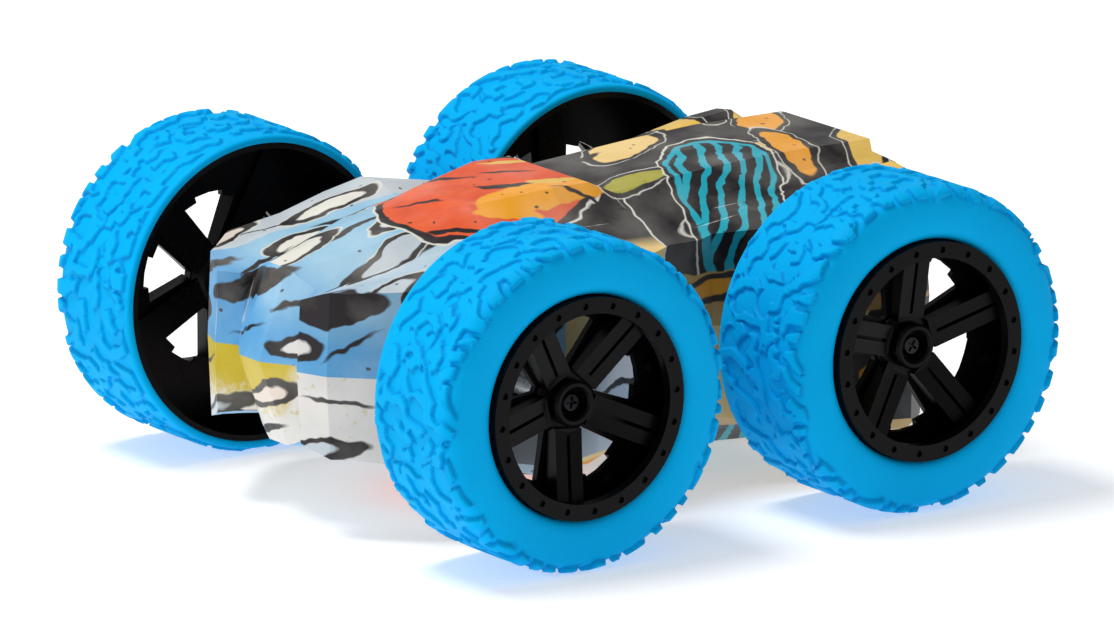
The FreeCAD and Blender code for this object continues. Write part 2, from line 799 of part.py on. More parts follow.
# Plan outline of one half, nose to tail.  Each row is (x, y) on the parting
# plane, then (x, y) of the same wall corner at wall_top height.
WALL_CORNERS = [
    ((98.5, 5.0), (82.8, 4.0)),       # nose corner
    ((93.0, 14.0), (79.7, 14.0)),     # valley beside the nose
    ((96.5, 20.0), (94.5, 20.5)),     # front fender, inner corner
    ((93.0, 29.0), (91.0, 29.0)),
    ((79.0, 42.5), (77.5, 42.0)),
    ((65.0, SIDE_WALL), (64.0, 49.5)),
    ((20.0, SIDE_WALL), (20.0, 49.5)),
    ((-10.0, 40.0), (-10.0, 40.0)),   # waist
    ((-24.0, 40.0), (-24.0, 40.0)),
    ((-46.0, SIDE_WALL), (-46.0, 49.5)),
    ((-84.0, SIDE_WALL), (-83.0, 49.5)),
    ((-93.0, 44.5), (-89.5, 44.0)),   # rear fender
    ((-97.5, 36.0), (-93.0, 35.5)),
    ((-97.5, 28.0), (-92.5, 28.0)),
    ((-93.5, 24.0), (-87.5, 24.0)),   # valley beside the tail
    ((-98.0, 20.0), (-89.4, 20.5)),   # tail corner
]

# Cross-sections of the deck, nose to tail: x, then (y, z) from the centre line
# out over the plateau edge, the deck crease, the fender's foot and its top.
DECK_SECTIONS = [
    (104.0, [(0, 22.5), (5, 22.5), (9, 21.0), (16.5, 17.0), (29, 22.5), (42, 22.5), (54, 17.5)]),
    (88.0, [(0, 24.5), (4, 24.5), (6.5, 23.6), (15.5, 19.0), (29, 22.8), (42, 22.3), (54, 17.5)]),
    (60.0, [(0, 31.0), (7, 31.2), (13, 30.7), (21, 26.0), (33, 26.8), (44, 26.0), (54, 20.0)]),
    (45.0, [(0, 33.8), (9, 33.8), (18, 31.8), (26, 28.8), (35, 30.2), (45, 29.8), (54, 23.0)]),
    (37.0, [(0, 36.5), (13, 36.0), (21, 32.2), (27, 29.8), (36, 32.0), (45, 31.5), (54, 24.8)]),
    (33.0, [(0, 36.9), (14, 36.5), (21.9, 32.3), (27.5, 30.0), (36, 33), (45, 32.4), (54, 25.5)]),
    (14.0, [(0, 39.0), (19, 39.0), (26, 32.5), (30, 30.2), (37, 30.3), (44, 29.2), (54, 23.0)]),
    (2.0, [(0, 39.0), (19, 39.0), (26.5, 32.3), (30, 30.0), (36.5, 26.5), (42, 24.0), (54, 19.0)]),
    (-5.0, [(0, 36.0), (20, 35.6), (27, 32.0), (30.5, 30.0), (36, 26.5), (40.5, 24.0), (54, 18.0)]),
    (-20.0, [(0, 37.2), (20, 36.8), (28, 31.6), (31, 29.8), (36, 26.5), (40.5, 24.0), (54, 18.0)]),
    (-40.0, [(0, 38.6), (20, 38.4), (28.5, 33.0), (33, 31.0), (39, 29.8), (45, 27.5), (54, 22.0)]),
    (-60.0, [(0, 39.4), (20.5, 39.4), (27, 35.0), (32, 33.0), (39, 33.8), (45, 32.2), (54, 26.0)]),
    (-75.0, [(0, 39.4), (20.5, 39.4), (26, 35.5), (30, 33.8), (38, 36.2), (45, 35.2), (54, 28.0)]),
    (-85.0, [(0, 39.4), (20.5, 39.4), (25.7, 35.6), (29.7, 33.6), (38, 37.2), (45, 36.2), (54, 28.5)]),
    (-106.0, [(0, 39.4), (20.5, 39.4), (25, 35.8), (29, 31.4), (38, 22.5), (45, 22.0), (54, 17.0)]),
]

SHELL_BOSSES = [(82.0, 30.0), (82.0, -30.0), (-84.0, 33.0), (-84.0, -33.0)]
SCREW_SEAT = 14.0
SCREW_REACH = 11.0


def both_sides(points):
    """Closed outline from one half's points, which run nose to tail."""
    return points + [(x, -y) for x, y in reversed(points)]


def inset(points, distance):
    """Closed outline moved inwards by distance, corners kept sharp."""
    area = 0.0
    for (x0, y0), (x1, y1) in zip(points, points[1:] + points[:1]):
        area += x0 * y1 - x1 * y0
    turn = 1.0 if area > 0 else -1.0
    moved = []
    count = len(points)
    for i in range(count):
        before = Vector(*points[i - 1], 0)
        here = Vector(*points[i], 0)
        after = Vector(*points[(i + 1) % count], 0)
        u = (here - before).normalize()
        v = (after - here).normalize()
        n1 = Vector(-u.y, u.x, 0) * turn
        n2 = Vector(-v.y, v.x, 0) * turn
        bisector = (n1 + n2).normalize()
        moved.append(here + bisector * (distance / bisector.dot(n1)))
    return [(p.x, p.y) for p in moved]


def free_sketch(name, points, placement):
    drawing = DOC.addObject("Sketcher::SketchObject", name)
    polygon(drawing, points)
    drawing.Placement = placement
    return drawing


def loft(name, drawings):
    shape = DOC.addObject("Part::Loft", name)
    shape.Sections = drawings
    shape.Solid = True
    shape.Ruled = True
    return shape


def wall_prism(name, distance):
    """Solid bounded by the leaning walls, moved in by distance."""
    low = both_sides([bottom for bottom, top in WALL_CORNERS])
    high = both_sides([top for bottom, top in WALL_CORNERS])
    if distance:
        low = inset(low, distance)
        high = inset(high, distance)
    bottom = free_sketch(name + "_bottom", low, place())
    top = free_sketch(name + "_top", high, place(z=size("wall_top")))
    return loft(name, [bottom, top])


def deck_solid(name):
    """Solid under the deck's facets, from below the parting plane."""
    across = Rotation(Vector(0, 1, 0), Vector(0, 0, 1), Vector(1, 0, 0), "XYZ")
    drawings = []
    for number, (x, half) in enumerate(DECK_SECTIONS):
        edge = half[-1][0]
        points = list(half) + [(edge, -6.0), (-edge, -6.0)]
        points += [(-y, z) for y, z in reversed(half[1:])]
        drawings.append(free_sketch("%s_%d" % (name, number), points,
                                    Placement(Vector(x, 0, 0), across)))
    return loft(name, drawings)


def common(name, shapes):
    result = DOC.addObject("Part::MultiCommon", name)
    result.Shapes = shapes
    return result


def fuse(name, shapes):
    result = DOC.addObject("Part::MultiFuse", name)
    result.Shapes = shapes
    result.Refine = False
    return result


def cut(name, base, tools):
    """Base minus all the tools."""
    result = DOC.addObject("Part::Cut", name)
    result.Base = base
    result.Tool = tools[0] if len(tools) == 1 else fuse(name + "_tools", tools)
    return result


def box(name, low, high):
    shape = DOC.addObject("Part::Box", name)
    shape.Length = high[0] - low[0]
    shape.Width = high[1] - low[1]
    shape.Height = high[2] - low[2]
    shape.Placement = place(*low)
    return shape


def upright(name, x, y, z, radius, height):
    """Vertical cylinder standing on z."""
    shape = DOC.addObject("Part::Cylinder", name)
    if isinstance(radius, str):
        bind(shape, "Radius", radius)
    else:
        shape.Radius = radius
    shape.Height = height
    shape.Placement = place(x, y, z)
    return shape


def lying(name, x, z, radius, low_y, length):
    """Cylinder along Y from low_y."""
    shape = DOC.addObject("Part::Cylinder", name)
    if isinstance(radius, str):
        bind(shape, "Radius", radius)
    else:
        shape.Radius = radius
    shape.Height = length
    shape.Placement = Placement(Vector(x, low_y + length, z), Rotation(Vector(1, 0, 0), 90))
    return shape


def mirrored_down(name, source):
    shape = DOC.addObject("Part::Mirroring", name)
    shape.Source = source
    shape.Base = (0, 0, 0)
    shape.Normal = (0, 0, 1)
    return shape


def axle_openings(prefix):
    """Holes for the bushes, half in each shell."""
    return [lying("%s_opening_%s_%s" % (prefix, "front" if sign > 0 else "rear", side),
                  sign * wheel_x(), 0.0, "<bush_radius> + 0.02",
                  44.0 if side == "left" else -54.0, 10.0)
            for sign in (1.0, -1.0) for side in ("left", "right")]


def boss_posts(prefix, start, height, outer):
    posts = [upright("%s_boss_%d" % (prefix, i), x, y, start, "<boss_radius>", height)
             for i, (x, y) in enumerate(SHELL_BOSSES)]
    return common(prefix + "_bosses", [fuse(prefix + "_boss_group", posts), outer])


def build_shells():
    wall = size("shell_wall")
    outer = common("upper_outer", [wall_prism("outer_walls", 0.0), deck_solid("deck")])
    lowered = DOC.addObject("Part::Compound", "lowered_deck")
    lowered.Links = [deck_solid("inner_deck")]
    bind(lowered, "Placement.Base.z", "-<shell_wall> * 1.08")
    inner = common("upper_inner", [wall_prism("inner_walls", wall), lowered])
    skin = cut("upper_skin", outer, [inner])
    lower_outer = mirrored_down("lower_outer", outer)
    lower_skin = mirrored_down("lower_skin", skin)

    pilot = "<screw_radius> + 0.01"
    upper_holes = [upright("pilot_%d" % i, x, y, -1.0, pilot, SCREW_REACH + 2.0)
                   for i, (x, y) in enumerate(SHELL_BOSSES)]
    upper = cut("upper_shell", fuse("upper_solid", [skin, boss_posts("upper", 0.0, 40.0, outer)]),
                upper_holes + axle_openings("upper"))
    keep(upper, "upper_shell")

    keep(lower_shell(lower_skin, lower_outer), "lower_shell")
    keep(battery_door(lower_skin), "battery_door")


def lower_shell(skin, outer):
    door_x = size("battery_centre")
    half_length = size("door_length") / 2.0
    half_width = size("door_width") / 2.0
    bar_x = door_screw_x()
    bar = common("door_bar", [box("door_bar_block", (bar_x - 4.0, -19.4, -38.5),
                                  (bar_x + 4.0, 19.4, -32.0)), outer])
    ribs = []
    for side in (-1.0, 1.0):
        for x in (-25.0, 25.0):
            y = side * (size("plate_inner_side") + size("plate_thickness") / 2.0)
            ribs.append(box("rib_%d_%d" % (x, side), (x - 3.0, y - 1.2, -40.0),
                            (x + 3.0, y + 1.2, -17.55)))
    frame_ribs = common("frame_ribs", [fuse("rib_group", ribs), outer])
    solid = fuse("lower_solid", [skin, boss_posts("lower", -40.0, 40.0, outer), frame_ribs])

    door_opening = box("door_opening", (door_x - half_length, -half_width, -45.0),
                       (door_x + half_length, half_width, -30.0))
    opened = cut("lower_opened", solid, [door_opening])
    barred = fuse("lower_barred", [opened, cut("door_bar_step", bar, [box(
        "door_seat", (door_x - half_length, -half_width, -45.0),
        (door_x + half_length, half_width, -size("belly_height") + 2.5))])])

    tools = axle_openings("lower")
    for i, (x, y) in enumerate(SHELL_BOSSES):
        tools.append(upright("screw_hole_%d" % i, x, y, -45.0, "<screw_radius> + 0.3", 50.0))
        tools.append(upright("screw_sink_%d" % i, x, y, -45.0, 2.9, 45.0 - SCREW_SEAT))
    tools.append(upright("door_pilot", bar_x, 0.0, -45.0, "<screw_radius> + 0.01", 15.0))
    travel = size("switch_travel")
    tools.append(box("switch_slot", (size("switch_place") - 1.6, -travel - 0.2, -45.0),
                     (size("switch_place") + 1.6, travel + 0.2, -30.0)))
    tools.append(box("nose_notch", (83.0, -17.5, -26.0), (92.0, -10.5, -18.6)))
    return cut("lower_shell", barred, tools)


def door_screw_x():
    return size("battery_centre") - size("door_length") / 2.0 + 4.5


def battery_door(skin):
    door_x = size("battery_centre")
    half_length = size("door_length") / 2.0 - size("door_gap")
    half_width = size("door_width") / 2.0 - size("door_gap")
    block = box("door_block", (door_x - half_length, -half_width, -45.0),
                (door_x + half_length, half_width, -30.0))
    panel = common("door_panel", [block, skin])
    holes = [upright("door_hole", door_screw_x(), 0.0, -45.0, "<screw_radius> + 0.3", 15.0)]
    return cut("battery_door", panel, holes)


# ---------------------------------------------------------------------------
# Screws, battery and electronics
# ---------------------------------------------------------------------------
def make_screw(name, length, head_height):
    """Pan-head screw that points up, with its seat at z = 0."""
    body = new_body(name)
    profile = sketch(body, "XZ_Plane", name + "_profile")
    radius = size("screw_radius")
    polygon(profile, [(0, -head_height), (1.9, -head_height), (2.6, -head_height + 0.7),
                      (2.6, 0), (radius, 0), (radius, length), (0, length)])
    spin(body, profile)
    slot = sketch(body, "XY_Plane", name + "_slot", -head_height)
    polygon(slot, [(-1.6, -0.3), (1.6, -0.3), (1.6, 0.3), (-1.6, 0.3)])
    pocket(body, slot, 0.9, True, name + "_slot_cut")
    return body


def build_screws():
    shell_screw = make_screw("shell_screw_design", SCREW_SEAT + SCREW_REACH - 0.5, 1.8)
    group_of("shell_screws", shell_screw,
             [place(x, y, -SCREW_SEAT) for x, y in SHELL_BOSSES])
    door_screw = make_screw("door_screw_design", 5.0, 1.6)
    copy_of(door_screw, "battery_door_screw", place(door_screw_x(), 0.0, -39.45))


def build_battery():
    """Two cells side by side in one wrap."""
    radius = size("battery_height") / 2.0
    length = size("battery_length")
    low_x = size("battery_centre") - length / 2.0
    middle_z = size("battery_top") - radius
    spread = size("battery_width") / 2.0 - radius
    cells = []
    for y in (-spread, spread):
        cell = DOC.addObject("Part::Cylinder", "cell_%s" % ("left" if y > 0 else "right"))
        bind(cell, "Radius", "<battery_height> / 2")
        bind(cell, "Height", "<battery_length>")
        cell.Placement = Placement(Vector(low_x, y, middle_z), Rotation(ACROSS, 90))
        cells.append(cell)
    middle = box("wrap", (low_x, -spread, middle_z - radius),
                 (low_x + length, spread, middle_z + radius))
    keep(fuse("battery_pack", cells + [middle]), "battery_pack")


def build_board():
    """Circuit board with its receiver chip, capacitor, crystal and socket."""
    half_x = size("board_length") / 2.0
    half_y = size("board_width") / 2.0
    centre = size("board_centre")
    top = size("board_top")
    thick = size("board_thickness")
    sheet = box("board_sheet", (centre - half_x, -half_y, top - thick),
                (centre + half_x, half_y, top))
    chip = box("board_chip", (centre - 6, -5, top - 0.2), (centre + 6, 3, top + 1.8))
    driver = box("board_driver", (centre - 15, -11, top - 0.2), (centre - 9, 11, top + 1.6))
    crystal = box("board_crystal", (centre + 10, 4, top - 0.2), (centre + 14, 12, top + 2.8))
    socket = box("board_socket", (centre - 17, -14, top - 0.2), (centre - 9, -12, top + 5.0))
    capacitor = upright("board_capacitor", centre + 11, -7, top - 0.2, 3.2, 8.0)
    board = fuse("board_parts", [sheet, chip, driver, crystal, socket, capacitor])
    keep(board, "circuit_board")


def wire(name, points, radius):
    """Round cable through the points, as one swept solid."""
    curve = Part.BSplineCurve()
    curve.interpolate([Vector(*p) for p in points])
    path = Part.Wire([curve.toShape()])
    start = curve.value(curve.FirstParameter)
    tangent = curve.tangent(curve.FirstParameter)[0]
    ring = Part.Wire([Part.Circle(start, tangent, radius).toShape()])
    piece = DOC.addObject("Part::Feature", name)
    piece.Shape = path.makePipeShell([ring], True, True)
    return keep(piece, name)


def build_wires():
    top = size("board_top")
    centre = size("board_centre")
    back = centre - size("board_length") / 2.0
    battery_end = size("battery_centre") + size("battery_length") / 2.0
    cell_z = size("battery_top") - size("battery_height") / 2.0
    wire("battery_lead", [(battery_end + 0.4, 0, cell_z), (battery_end + 14, -3, cell_z + 3),
                          (8, -4, -8), (back - 4, -6, top - 4), (back - 0.8, -8, top - 0.8)], 0.9)
    motor_x, motor_z = motor_spot()
    motor_y = size("plate_inner_side") - size("motor_length")
    wire("motor_lead_left", [(motor_x + 11.2, motor_y + 9, motor_z - 6), (4, 10, 4),
                             (20, 11, 1), (back - 0.8, 10, top - 0.8)], 0.7)
    wire("motor_lead_right", [(-motor_x + 10.8, -motor_y - 9, motor_z - 6), (-motor_x + 9.5, -9.5, 6),
                              (back - 0.8, -10.5, top - 0.8)], 0.7)
    wire("aerial_wire", [(centre + 18.6, 0, top + 1.0), (centre + 22, 4, top + 5.5),
                         (centre + 12, 12, top + 12), (centre - 4, 15, top + 14),
                         (centre - 20, 12, top + 17)], 0.6)


def build_switch():
    """Slide switch under the belly; the knob moves across the car."""
    x = size("switch_place")
    travel = size("switch_travel")
    floor = -(size("belly_height") - size("shell_wall") * 1.08) + 0.02
    half = size("switch_length") / 2.0
    width = size("switch_width") / 2.0
    block = box("switch_block", (x - width, -half, floor), (x + width, half, floor + 4.2))
    channel = box("switch_channel", (x - 1.6, -travel - 0.2, floor - 1.0),
                  (x + 1.6, travel + 0.2, floor + 2.6))
    keep(cut("switch_case", block, [channel]), "power_switch_case")
    knob = box("switch_knob", (x - 1.5, -travel + 0.1, -size("belly_height") + 0.3),
               (x + 1.5, 0.1, floor + 2.5))
    keep(knob, "power_switch_knob")


# ---------------------------------------------------------------------------
# Build, check and write
# ---------------------------------------------------------------------------
def check():
    DOC.recompute()
    for thing in DOC.Objects:
        if "Invalid" in thing.State or "Error" in thing.State:
            raise RuntimeError("failed: %s %s" % (thing.Label, thing.State))
    for piece in PIECES:
        shape = piece.Shape
        if shape.isNull() or not shape.isValid() or not shape.Solids:
            raise RuntimeError("bad shape: " + piece.Label)


def write():
    os.makedirs("parts", exist_ok=True)
    for piece in PIECES:
        piece.Shape.exportStep("parts/%s.step" % piece.Label)


build_wheels()
build_trains()
build_gearboxes()
build_axle_bushes()
build_shells()
build_screws()
build_battery()
build_board()
build_wires()
build_switch()
check()
write()
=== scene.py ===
"""Looks of the double-sided stunt car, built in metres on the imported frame.

+X is forward, +Y is the car's left, +Z is up, and the origin is midway between
the wheels.  Sizes written in millimetres are multiplied by MM.
"""
import math

import bpy
import numpy as np
from mathutils import Euler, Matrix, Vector


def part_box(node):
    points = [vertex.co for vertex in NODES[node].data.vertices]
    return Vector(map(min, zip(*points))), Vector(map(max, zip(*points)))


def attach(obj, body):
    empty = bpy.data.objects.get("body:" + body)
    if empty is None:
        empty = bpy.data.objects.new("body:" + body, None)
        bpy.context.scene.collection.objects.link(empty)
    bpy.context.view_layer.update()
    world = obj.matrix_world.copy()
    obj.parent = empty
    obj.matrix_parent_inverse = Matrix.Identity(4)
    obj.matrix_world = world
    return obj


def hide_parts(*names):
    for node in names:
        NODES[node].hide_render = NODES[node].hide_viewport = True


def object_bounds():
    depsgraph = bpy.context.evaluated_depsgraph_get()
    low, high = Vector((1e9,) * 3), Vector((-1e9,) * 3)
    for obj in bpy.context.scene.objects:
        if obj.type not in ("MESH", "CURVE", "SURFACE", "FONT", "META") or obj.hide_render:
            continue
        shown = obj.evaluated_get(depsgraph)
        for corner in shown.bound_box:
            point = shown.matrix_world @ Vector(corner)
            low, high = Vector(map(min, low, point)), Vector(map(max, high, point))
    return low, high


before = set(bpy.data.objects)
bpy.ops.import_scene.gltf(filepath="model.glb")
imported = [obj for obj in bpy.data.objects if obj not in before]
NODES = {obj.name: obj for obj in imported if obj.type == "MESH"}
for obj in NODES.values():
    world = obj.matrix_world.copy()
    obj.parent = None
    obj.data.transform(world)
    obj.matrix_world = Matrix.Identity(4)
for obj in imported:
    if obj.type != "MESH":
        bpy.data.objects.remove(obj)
CAD_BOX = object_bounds()
MM = 0.001
CORNERS = [end + "_" + side for end in ("front", "rear") for side in ("left", "right")]


# ---------------------------------------------------------------------------
# Shader maths
# ---------------------------------------------------------------------------
def rgb(red, green, blue):
    """Linear colour from screen values of 0 to 255."""
    out = []
    for value in (red, green, blue):
        value = value / 255.0
        out.append(value / 12.92 if value <= 0.04045 else ((value + 0.055) / 1.055) ** 2.4)
    return (out[0], out[1], out[2], 1.0)


class Value:
    """A number in a shader, so that formulas read as plain arithmetic."""

    def __init__(self, graph, socket):
        self.graph = graph
        self.socket = socket

    def __add__(self, other):
        return self.graph.maths("ADD", self, other)

    def __radd__(self, other):
        return self.graph.maths("ADD", self, other)

    def __sub__(self, other):
        return self.graph.maths("SUBTRACT", self, other)

    def __mul__(self, other):
        return self.graph.maths("MULTIPLY", self, other)


class Graph:
    """Builds one material's nodes."""

    def __init__(self, name):
        self.material = bpy.data.materials.new(name)
        self.material.use_nodes = True
        self.tree = self.material.node_tree
        self.surface = self.tree.nodes["Principled BSDF"]
        coordinates = self.tree.nodes.new("ShaderNodeTexCoord")
        self.place = self.vector("SCALE", coordinates.outputs["Object"], scale=1.0 / MM)

    def wire(self, source, target):
        if isinstance(source, Value):
            source = source.socket
        if isinstance(source, bpy.types.NodeSocket):
            self.tree.links.new(source, target)
        else:
            target.default_value = source

    def maths(self, operation, a, b=0.0, c=None, clamp=False):
        node = self.tree.nodes.new("ShaderNodeMath")
        node.operation = operation
        node.use_clamp = clamp
        self.wire(a, node.inputs[0])
        self.wire(b, node.inputs[1])
        if c is not None:
            self.wire(c, node.inputs[2])
        return Value(self, node.outputs[0])

    def vector(self, operation, a, b=None, scale=None):
        node = self.tree.nodes.new("ShaderNodeVectorMath")
        node.operation = operation
        self.wire(a, node.inputs[0])
        if b is not None:
            self.wire(b, node.inputs[1])
        if scale is not None:
            self.wire(scale, node.inputs["Scale"])
        if operation == "DOT_PRODUCT":
            return Value(self, node.outputs["Value"])
        return node.outputs["Vector"]

    def axes(self, vector=None):
        node = self.tree.nodes.new("ShaderNodeSeparateXYZ")
        self.wire(vector or self.place, node.inputs[0])
        return [Value(self, socket) for socket in node.outputs]

    def noise(self, size, detail=2.0, vector=None, colour=False):
        """Noise whose features are about size millimetres across."""
        node = self.tree.nodes.new("ShaderNodeTexNoise")
        self.wire(vector or self.place, node.inputs["Vector"])
        node.inputs["Scale"].default_value = 1.0 / size
        node.inputs["Detail"].default_value = detail
        return node.outputs["Color"] if colour else Value(self, node.outputs["Fac"])

    def cells(self, size, feature="F1", vector=None):
        """Distance from cell centres, or from cell edges, for cells size millimetres apart."""
        node = self.tree.nodes.new("ShaderNodeTexVoronoi")
        node.feature = feature
        self.wire(vector or self.place, node.inputs["Vector"])
        node.inputs["Scale"].default_value = 1.0 / size
        return Value(self, node.outputs["Distance"])

    def below(self, value, edge, soft):
        """1 where value is under edge, 0 where it is over, soft across."""
        return self.maths("MULTIPLY_ADD", value, -1.0 / soft, edge / soft + 0.5, clamp=True)

    def above(self, value, edge, soft):
        return self.maths("MULTIPLY_ADD", value, 1.0 / soft, 0.5 - edge / soft, clamp=True)

    def blend(self, factor, under, over):
        node = self.tree.nodes.new("ShaderNodeMix")
        node.data_type = "RGBA"
        self.wire(factor, node.inputs["Factor"])
        self.wire(under, node.inputs[6])
        self.wire(over, node.inputs[7])
        return node.outputs[2]

    def blob(self, point, centre, radii, turn=(0, 0, 0)):
        """Distance outside an ellipsoid, roughly in millimetres.

        point is the three Values of a place; a radius over 50 leaves its axis out.
        """
        axes = Euler([math.radians(t) for t in turn]).to_matrix().transposed()
        square = 0.0
        for row, radius in zip(axes, radii):
            if radius > 50.0:
                continue
            local = -row.dot(Vector(centre)) / radius
            for value, share in zip(point, row):
                if abs(share) > 1e-6:
                    local = self.maths("MULTIPLY_ADD", value, share / radius, local)
            square = self.maths("MULTIPLY_ADD", local, local, square)
        return (self.maths("SQRT", square) - 1.0) * min(radii)

    def bump(self, height, depth, strength):
        """Relief of depth millimetres where height runs from 0 to 1."""
        node = self.tree.nodes.new("ShaderNodeBump")
        node.inputs["Strength"].default_value = strength
        node.inputs["Distance"].default_value = depth * MM
        self.wire(height, node.inputs["Height"])
        self.wire(node.outputs["Normal"], self.surface.inputs["Normal"])

    def finish(self, colour=None, roughness=None, **settings):
        if colour is not None:
            self.wire(colour, self.surface.inputs["Base Color"])
        if roughness is not None:
            self.wire(roughness, self.surface.inputs["Roughness"])
        for name, value in settings.items():
            label = name.replace("_", " ").title().replace("Ior", "IOR")
            self.wire(value, self.surface.inputs[label])
        return self.material


# ---------------------------------------------------------------------------
# Plain materials
# ---------------------------------------------------------------------------
def rubber():
    g = Graph("tyre_rubber")
    patches = g.noise(14.0, 3.0)
    grain = g.noise(0.7, 3.0)
    colour = g.blend(patches, rgb(0, 168, 234), rgb(0, 180, 244))
    colour = g.blend(g.above(grain, 0.62, 0.2) * 0.2, colour, rgb(8, 192, 250))
    # Painted shade: a darker blue along the foot of each lug, where the lug meets the base.
    foot_shade = g.tree.nodes.new("ShaderNodeAttribute")
    foot_shade.attribute_name = "painted_lug_shade"
    colour = g.blend(Value(g, foot_shade.outputs["Fac"]) * 0.55, colour, rgb(0, 116, 196))
    g.bump(grain, 0.04, 0.5)
    return g.finish(colour, 0.5 + patches * 0.12, Specular_IOR_Level=0.04)


def moulded(name, colour, pale, roughness, grain_size=0.5, **settings):
    """Moulded plastic: faint flow marks, fine spark texture, uneven sheen."""
    g = Graph(name)
    flow = g.noise(18.0, 4.0)
    grain = g.noise(grain_size, 2.0)
    shade = g.blend(g.above(flow, 0.5, 0.5), colour, pale)
    g.bump(grain, 0.03, 0.6)
    return g.finish(shade, (flow - 0.5) * 0.22 + (grain - 0.5) * 0.1 + roughness, **settings)


def metal(name, colour, dark, roughness):
    """Turned or drawn metal with fine lines along its length."""
    g = Graph(name)
    lines = g.noise(0.35, 2.0, vector=g.vector("MULTIPLY", g.place, (0.15, 1.0, 0.15)))
    stain = g.noise(7.0, 4.0)
    shade = g.blend(g.above(stain, 0.56, 0.25), colour, dark)
    g.bump(lines, 0.015, 0.5)
    return g.finish(shade, (lines - 0.5) * 0.2 + roughness, Metallic=1.0)


BOARD_TOP = 4.0
BATTERY_BAND = -37.0


def board_lacquer():
    """Green solder mask with paler tracks and tinned pads."""
    g = Graph("board_lacquer")
    height = g.axes()[2]
    flat = g.vector("MULTIPLY", g.place, (1, 1, 0))
    tracks = g.below(g.cells(3.4, "DISTANCE_TO_EDGE", flat), 0.07, 0.03)
    pads = g.cells(2.6, vector=flat)
    colour = g.blend(tracks, rgb(14, 74, 40), rgb(34, 118, 62))
    colour = g.blend(g.below(pads, 0.16, 0.04), colour, rgb(196, 196, 188))
    parts = g.above(height, BOARD_TOP + 0.25, 0.1)
    colour = g.blend(parts, colour, rgb(30, 30, 33))
    g.bump(tracks, 0.05, 0.6)
    return g.finish(colour, 0.34)


def battery_sleeve():
    """Shrink sleeve with faint wrinkles and an end band."""
    g = Graph("battery_sleeve")
    along = g.axes()[0]
    wrinkle = g.noise(3.0, 4.0, vector=g.vector("MULTIPLY", g.place, (0.35, 1.4, 1.0)))
    band = g.above(along, BATTERY_BAND, 0.3)
    colour = g.blend(wrinkle, rgb(16, 58, 132), rgb(26, 76, 158))
    colour = g.blend(band, colour, rgb(228, 226, 216))
    g.bump(wrinkle, 0.25, 0.5)
    return g.finish(colour, 0.3 + wrinkle * 0.1)


def wire_sleeve(name, colour):
    g = Graph(name)
    scuff = g.noise(1.8, 3.0)
    pale = tuple(min(1.0, c * 1.6 + 0.02) for c in colour[:3]) + (1.0,)
    g.bump(scuff, 0.04, 0.5)
    return g.finish(g.blend(g.above(scuff, 0.55, 0.2), colour, pale), 0.38)


# ---------------------------------------------------------------------------
# Printed pattern of the shells
# ---------------------------------------------------------------------------
CHARCOAL = rgb(32, 27, 28)
SKY = rgb(150, 198, 224)
BLUE = rgb(92, 166, 218)
CREAM = rgb(232, 230, 218)
PALE = rgb(226, 224, 220)
PEACH = rgb(230, 216, 204)
MUSTARD = rgb(204, 180, 0)
ORANGE = rgb(238, 96, 44)
AMBER = rgb(248, 168, 34)
TAN = rgb(198, 160, 92)
SAND = rgb(248, 212, 136)
GOLD = rgb(238, 196, 92)
OLIVE = rgb(170, 164, 36)
TEAL = rgb(24, 176, 196)
MIST = rgb(196, 206, 212)
PRINT_SEED = 5
LINED = (1.6, 0.3)
PLAIN = (0.0, 0.0)
NOSE_END = 94.0
TAIL_END = -95.0


class Print:
    """Flat-colour shapes laid over one another, each with a brushed outline."""

    def __init__(self, name):
        self.g = Graph(name)
        g = self.g
        self.x, self.y, self.z = g.axes()
        geometry = g.tree.nodes.new("ShaderNodeNewGeometry")
        self.facing = g.axes(geometry.outputs["Normal"])
        wobble = g.vector("SUBTRACT", g.noise(13.0, 2.0, colour=True), (0.5, 0.5, 0.5))
        ripple = g.vector("SUBTRACT", g.noise(3.6, 1.0, colour=True), (0.5, 0.5, 0.5))
        bent = g.vector("ADD", g.place, g.vector("SCALE", wobble, scale=6.5))
        self.bent = g.vector("ADD", bent, g.vector("SCALE", ripple, scale=1.3))
        self.bx, self.by, self.bz = g.axes(self.bent)
        self.away = g.maths("ABSOLUTE", self.by)
        self.colour = SAND

    def fill(self, mask, colour):
        self.colour = self.g.blend(mask, self.colour, colour)

    def region(self, distance, colour, outline=1.8, rim=0.0):
        """Colour where distance is negative, edged in charcoal, then in cream."""
        g = self.g
        if rim:
            self.fill(g.below(distance, outline + rim, 0.35), CREAM)
        if outline:
            self.fill(g.below(distance, outline, 0.35), CHARCOAL)
        self.fill(g.below(distance, 0.0, 0.35), colour)

    def shape(self, centre, radii, turn, colour, outline=1.6, rim=0.0, paired=False):
        """One shape; paired puts its mirror image on the other side too."""
        if not isinstance(turn, tuple):
            turn = (0, 0, turn)
        across = self.away if paired else self.by
        distance = self.g.blob((self.bx, across, self.bz), centre, radii, turn)
        self.region(distance, colour, outline, rim)
        return distance

    def stripes(self, distance, direction, pitch, share, colour, inside=0.9):
        """Bands inside a shape, across a direction."""
        g = self.g
        along = g.vector("DOT_PRODUCT", self.bent, direction)
        wave = g.maths("SINE", along * (2.0 * math.pi / pitch))
        band = g.above(wave, math.cos(math.pi * share), 0.3)
        self.fill(band * g.below(distance, -inside, 0.4), colour)

    def marks(self, rows, plane="top", depth=30.0):
        """Marks on the top (x, y), on an end (y, z) or on both side walls (x, z)."""
        for u, v, long, wide, turn, colour, outline, rim in rows:
            if plane == "top":
                self.shape((u, v, depth), (long, wide, 60.0), turn, colour, outline, rim)
            elif plane == "end":
                self.shape((depth, u, v), (14.0, long, wide), (turn, 0, 0), colour, outline, rim)
            else:
                self.shape((u, 50.0, v), (long, 14.0, wide), (0, turn, 0), colour, outline, rim,
                           paired=True)


